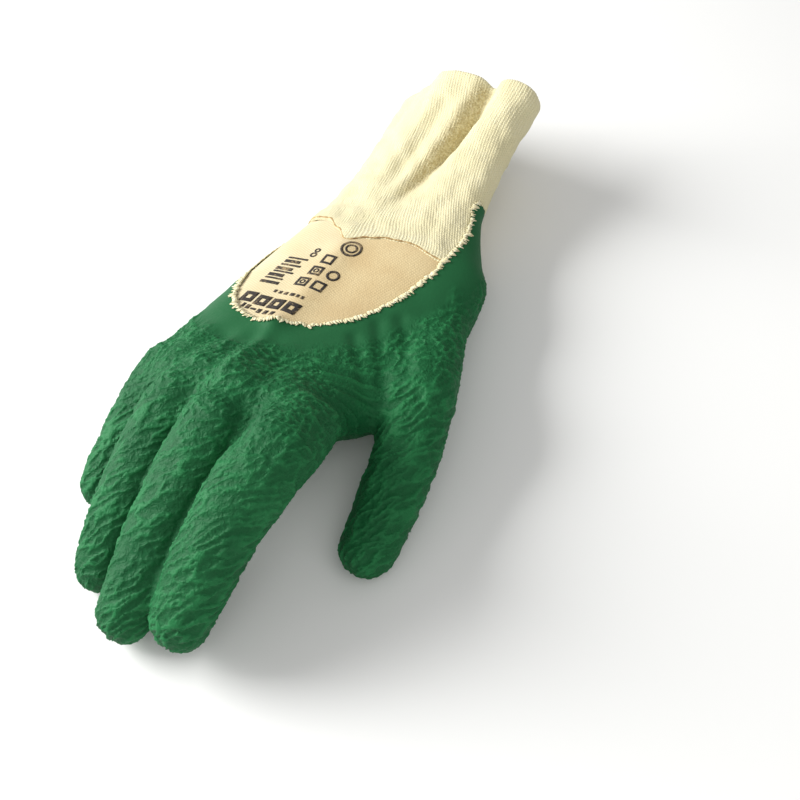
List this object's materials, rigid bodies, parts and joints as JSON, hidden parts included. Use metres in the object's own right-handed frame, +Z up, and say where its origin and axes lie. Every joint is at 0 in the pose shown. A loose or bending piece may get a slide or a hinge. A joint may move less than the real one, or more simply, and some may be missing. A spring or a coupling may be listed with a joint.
{
  "type": "gardening glove",
  "caption": "Latex-dipped cotton gardening glove for the right hand, with a rib knit cuff and a bare patch on the back, lying palm down in the shape of a hand.",
  "frame": {"origin": "on the surface that the glove lies on, under the middle of its bounding box", "axes": "+X to the thumb side, +Y along the glove to the cuff's mouth, +Z up out of the back of the hand"},
  "size_m": [0.1224, 0.2562, 0.0575],
  "materials": {
    "rib_cotton": "matt cream rib knit",
    "jersey_cotton": "matt natural cotton jersey",
    "green_latex": "crinkled, soft sheen"
  },
  "bodies": {
    "root": {"knit_cuff": "rib_cotton", "back_bare": "jersey_cotton", "back_coated": "green_latex", "palm_coated": "green_latex", "thumb": "green_latex", "finger_index": "green_latex", "finger_middle": "green_latex", "finger_ring": "green_latex", "finger_little": "green_latex"}
  },
  "joints": []
}
